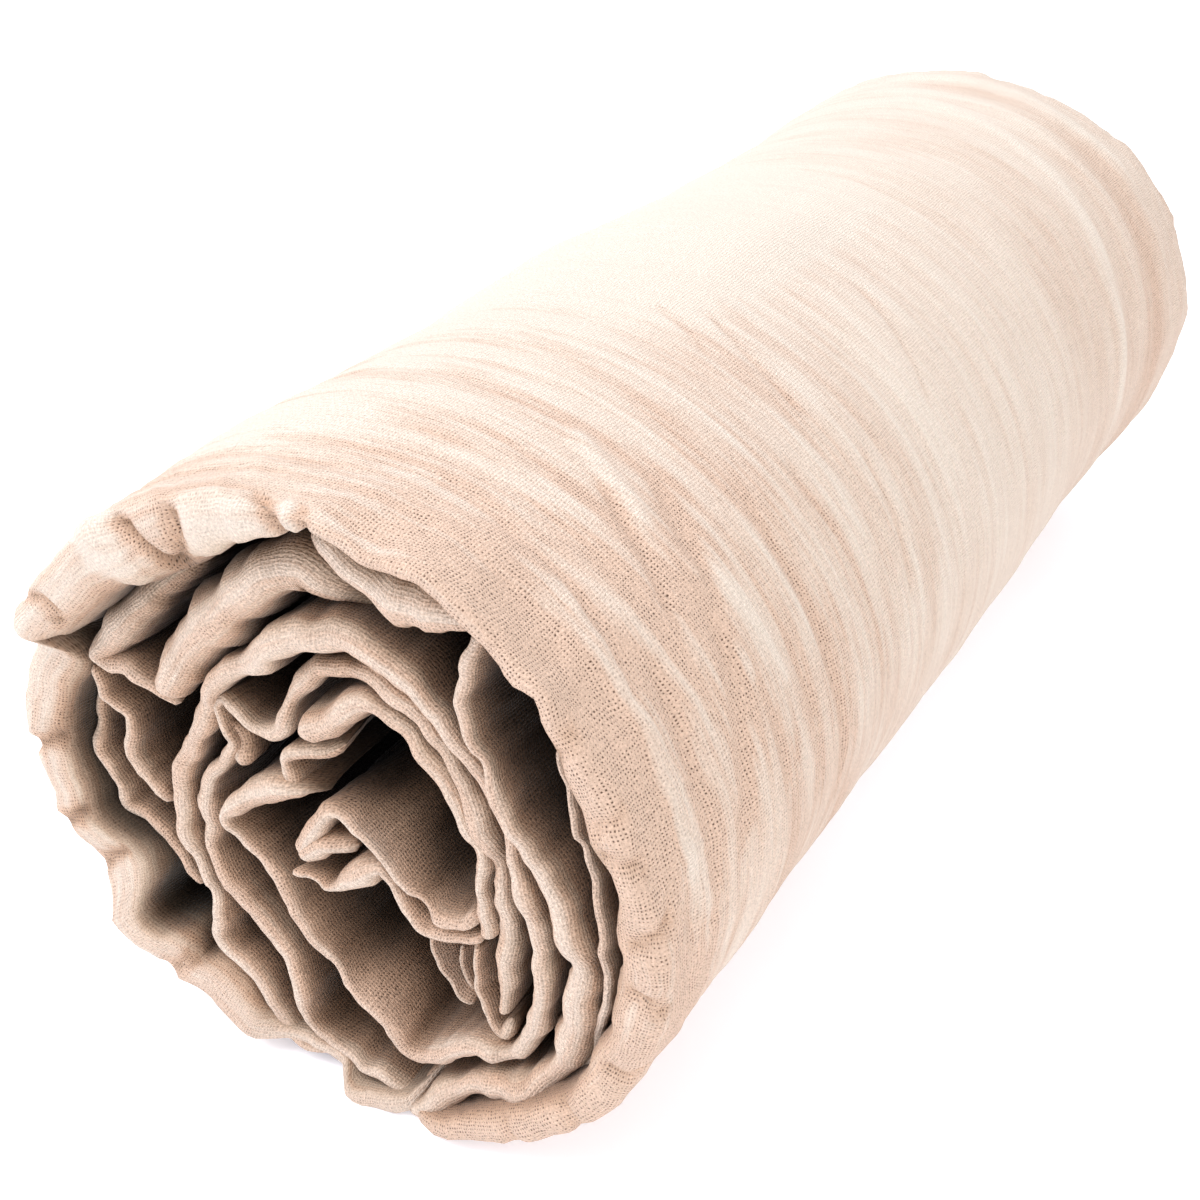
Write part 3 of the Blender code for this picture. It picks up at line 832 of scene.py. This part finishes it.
def lip_run(rows, seed, step, flank):
    """The rows as a fine run, each place with its sway, and how far along the run each one is."""
    run = narrowed(smooth_run(rows, step), flank)
    arcs = [0.0]
    for here, there in zip(run, run[1:]):
        arcs.append(arcs[-1] + math.hypot(there[0] - here[0], there[1] - here[1]))
    for s, point in zip(arcs, run):
        # Here and there the lip is pinched back and narrows.
        pinch = max(0.0, noise.noise(Vector((s / 7, seed, 8.0))) - 0.2)
        point[2] *= (1 + uneven(s, seed + 3, SWELLS)) * (1 - 0.8 * pinch)
        point[3] += uneven(s, seed + 5, SETBACKS) + 2.5 * pinch
        point.append(uneven(s, seed + 1, SWAYS))
        # Both ends of the lip are rounded off.
        to_end = min(s, arcs[-1] - s)
        half = point[2]
        if to_end < half:
            left = math.sqrt(max(0.0, 1 - ((half - to_end) / half) ** 2))
            point[3] += half * (1 - left)
            point[2] = max(half * left, 0.05)
    return run, arcs


# Places across a fold, from its outer wall, at 1, round its lip to its inner one, at -1, each
# with its mm behind the lip.
ROUND_LIP = [(math.cos(math.pi * k / LIP_ARC_STEPS), 0.0) for k in range(LIP_ARC_STEPS + 1)]
ACROSS_FOLD = [(1, inside) for inside in WALL_DEPTHS] + ROUND_LIP
ACROSS_FOLD += [(-1, inside) for inside in reversed(WALL_DEPTHS)]


def fold_section(point, lip_normal, calm_place, calm_normal, s, seed, end):
    """The cloth across a fold at one place of its run: place, painted shade depth, mm behind the lip."""
    x, z, half, back, sway = point
    section = []
    for side, inside in ACROSS_FOLD:
        # Deep in the roll the fold follows the softened run.
        ease = inside / (inside + 16)
        nx = lip_normal[0] * (1 - ease) + calm_normal[0] * ease
        nz = lip_normal[1] * (1 - ease) + calm_normal[1] * ease
        cx = x * (1 - ease) + calm_place[0] * ease
        cz = z * (1 - ease) + calm_place[1] * ease
        crease = 0.0
        for length, depth, shift, height in WALL_CREASES:
            crease += height * noise.noise(Vector((s / length, inside / depth, seed + shift + side)))
        off = side * half + sway + crease * inside / (inside + 7)
        px, pz = cx + nx * off, cz + nz * off
        room = INSIDE_OF_RIM - INSIDE_OF_BARREL * smooth_share(inside, 0, 12)
        inwards = min(1.0, room / max(math.hypot(px, pz), 1.0))
        curve = NOSE * half * (1 - math.sqrt(max(0.0, 1 - side * side)))
        along = back + curve + inside
        place = crumpled(px * inwards, along * end - end * LENGTH / 2, pz * inwards, 0.75)
        # Painted shade grows with depth, round the lip, where it presses on the next and as it stands
        # back.
        shade = inside + (curve + PRESSED_SHADE * abs(side) ** 3)
        shade += DARKER_BACK * max(0.0, back - 2.5)
        section.append((place, shade * open_share(place), inside))
    return section


def folded_edge(rows, seed, end=1, flank=FLANK_SHOWN):
    """A lip of doubled cloth along the rows, with both its walls running back into the roll."""
    if end == 1:
        rows = [carried_back(x, z, back - END_FORWARD + 0.5 * half) + (half, back - END_FORWARD)
                for x, z, half, back in rows]
    else:
        rows = [(FAR_SHARE * x, FAR_SHARE * z, half, back - FAR_FOLDS_FORWARD)
                for x, z, half, back in rows]
    step = FOLD_STEP if end == 1 else FAR_FOLD_STEP
    run, arcs = lip_run(rows, seed, step, flank)
    calm = relaxed(run, round(RELAXED_OVER / step))
    lip_normals, calm_normals = normals([(p[0], p[1]) for p in run]), normals(calm)
    middle = len(ACROSS_FOLD) // 2
    made = []
    for i, s in enumerate(arcs):
        section = fold_section(run[i], lip_normals[i], calm[i], calm_normals[i], s, seed, end)
        # The weave is laid off both ways from the lip's front.
        across = [0.0] * len(section)
        for k in range(middle + 1, len(section)):
            across[k] = across[k - 1] + (section[k][0] - section[k - 1][0]).length
        for k in range(middle - 1, -1, -1):
            across[k] = across[k + 1] - (section[k][0] - section[k + 1][0]).length
        row = []
        for weave, (place, shade, inside) in zip(across, section):
            # Painted shade: behind its front the lip is tinted pinker, with more dots showing.
            painted_shade_and_light = min(MOST_PAINTED_SHADE, PAINTED_SHADE_A_MM * inside + LIP_PAINTED_SHADE)
            row.append((place, (s, weave), shade, painted_shade_and_light, 1.0))
        made.append(row)
    return made[::end]


def far_folds(folds, seed):
    """The same folds at the far end, each with its own seed."""
    return [folded_edge(rows, seed + k, end=-1) for k, rows in enumerate(folds)]


inner = cloth_mesh("inner_turn", [
    folded_edge(INNER_TURN, 1.0, flank=0.0),
    folded_edge(SMALL_LOBE, 16.0, flank=0.0),
    folded_edge(LONG_FOLD, 17.0),
] + far_folds((INNER_TURN, LONG_FOLD), 21.0))

second = cloth_mesh("second_turn", [
    folded_edge(SECOND_TURN, 2.0),
    folded_edge(SMALL_WEB, 18.0, flank=0.0),
    folded_edge(TOP_FLAP, 3.0, flank=0.0),
    folded_edge(TOP_ROLL, 4.0, flank=0.0),
    folded_edge(LEFT_FLAP, 5.0, flank=0.0),
    folded_edge(LEFT_INNER_LIP, 15.0, flank=0.0),
    folded_edge(LEFT_LIP, 6.0, flank=0.0),
    folded_edge(RIGHT_LIP, 7.0),
] + far_folds((SECOND_TURN, TOP_ROLL, LEFT_LIP, LEFT_FLAP, RIGHT_LIP), 23.0))

# The core: the band's first end, doubled over into a soft tongue with a small mouth, and the
# three little curls that hang below it.
CORE_BROW = (
    # x, z, half thickness, setback: the upper lip, from the tongue's tip to lip a
    (-4.5, -6.0, 1.6, 4.5), (-2.5, -2.6, 1.7, 4.5), (-0.1, 1.4, 1.7, 5), (2.7, 4.4, 1.5, 6),
    (6, 4.4, 1.3, 6.5), (9.5, 2.3, 1.2, 6), (12.4, -0.6, 1.2, 5.5), (15, -3.2, 1.3, 5.5),
    (18, -5.6, 1.4, 5.5), (21, -7, 1.5, 5.5), (24.5, -7.2, 1.5, 5.5), (27.5, -6.2, 1.5, 6),
    (30, -3.6, 1.3, 7),
)
CORE_CHEEK = (
    # x, z, half thickness, setback: the fat fold between the brow and the mouth
    (-4.5, -6.8, 1.5, 4), (-1.5, -4, 2.4, 4.5), (2.2, -1.2, 2.8, 5.5), (5.8, 0.2, 2.2, 7.5),
    (8.8, 1.4, 1.2, 9),
)
CORE_MOUTH = (
    # x, z, half thickness, setback: the mouth's lower lip, running on to lip a
    (-5, -9.3, 0.8, 4.5), (-2.5, -9.2, 0.9, 4.5), (-0.8, -9.9, 0.9, 4.5), (0.8, -11.0, 0.9, 4.5),
    (3.2, -10.3, 1.2, 4.5), (6.2, -7.2, 2.2, 4.5), (9, -4.2, 2.4, 4.5), (11.5, -3.2, 1.7, 5),
    (14, -5.6, 1.4, 6), (16.5, -8, 1.4, 6), (19.5, -9.8, 1.4, 6), (23.5, -10, 1.4, 6),
    (27.5, -9, 1.4, 6.5), (30.5, -7, 1.2, 7.5),
)
CURLS = (
    # x, z, half thickness, setback, one row of places for each curl
    ((20.8, -11, 0.8, 12), (21.3, -15, 0.9, 11.5), (22, -18.5, 0.9, 11), (24.2, -21, 0.9, 11),
     (27.5, -22.3, 0.9, 11)),
    ((26.4, -11.5, 0.8, 12), (26, -15, 0.8, 12), (26.8, -18, 0.8, 12), (28.2, -19, 0.7, 12.5)),
    ((29.6, -9.5, 1.0, 8), (29.6, -15, 1.0, 8), (29.8, -20, 1.0, 8), (31, -25.3, 1.1, 8),
     (33.4, -26, 1.1, 8), (34.6, -23, 1.0, 8)),
)

core = cloth_mesh("core_tongue", [
    folded_edge(CORE_BROW, 8.0),
    folded_edge(CORE_CHEEK, 9.0, flank=0.0),
    folded_edge(CORE_MOUTH, 10.0),
] + far_folds((CORE_BROW, CORE_CHEEK, CORE_MOUTH), 28.0) + [
    folded_edge(rows, 11.0 + k) for k, rows in enumerate(CURLS)
])

# The studio: a plain pale table top in a pale surround. A large soft light stands above the near
# end and to its left, so the barrel's upper left is brightest, and a weaker one at the right.
FLOOR_REACH = 6.0
floor_mesh = bpy.data.meshes.new("floor")
floor_mesh.from_pydata(
    [(x * FLOOR_REACH, y * FLOOR_REACH, 0.0) for x, y in ((-1, -1), (1, -1), (1, 1), (-1, 1))],
    [], [(0, 1, 2, 3)])
# Pale card, matt and lit through a little from below, so that the roll's shadow stays faint.
CARD_GLOW = 0.32
pale = bpy.data.materials.new("pale card")
pale.use_nodes = True
card = pale.node_tree.nodes["Principled BSDF"]
card.inputs["Base Color"].default_value = linear("#FFFFFF")
card.inputs["Roughness"].default_value = 0.9
card.inputs["Emission Color"].default_value = linear("#E2EAFF")
card.inputs["Emission Strength"].default_value = CARD_GLOW
floor_mesh.materials.append(pale)
floor = bpy.data.objects.new("floor", floor_mesh)
bpy.context.scene.collection.objects.link(floor)

SURROUND_STRENGTH = 0.885
world = bpy.data.worlds.new("pale studio")
bpy.context.scene.world = world
world.use_nodes = True
surround = world.node_tree.nodes["Background"]
surround.inputs["Color"].default_value = linear("#FFFFFF")
surround.inputs["Strength"].default_value = SURROUND_STRENGTH

SOFT_LIGHTS = (
    # name, place in metres, size, watts, colour
    ("overhead", (-0.68, -0.44, 1.36), 1.6, 37.0, "#F3F6FF"),
    ("side", (1.35, -0.3, 0.62), 1.4, 6.5, "#FFF6F0"),
)
LIT_PLACE = Vector((0.0, -0.05, 0.05))
for name, place, size, watts, colour in SOFT_LIGHTS:
    lamp = bpy.data.lights.new(name, "AREA")
    lamp.size = size
    lamp.energy = watts
    lamp.color = linear(colour)[:3]
    light = bpy.data.objects.new(name, lamp)
    light.location = place
    aim = LIT_PLACE - Vector(place)
    light.rotation_euler = aim.to_track_quat("-Z", "Y").to_euler()
    bpy.context.scene.collection.objects.link(light)

# The camera stands to the right of the near end and above it, and looks down along the roll.
# Its lens is in mm, its angles in degrees.
SENSOR_WIDTH, LENS_LENGTH = 36.0, 49.5
LOOKS_DOWN, LOOKS_LEFT = 30.84, 30.3
lens = bpy.data.cameras.new("camera")
lens.sensor_width = SENSOR_WIDTH
lens.lens = LENS_LENGTH
camera = bpy.data.objects.new("camera", lens)
camera.location = (EYE_X * MM, -(LENGTH / 2 + EYE_BEFORE_END) * MM, (EYE_Z + AXIS_HEIGHT) * MM)
camera.rotation_euler = (math.radians(90 - LOOKS_DOWN), 0.0, math.radians(LOOKS_LEFT))
bpy.context.scene.collection.objects.link(camera)
bpy.context.scene.camera = camera
bpy.context.scene.view_settings.view_transform = "Standard"
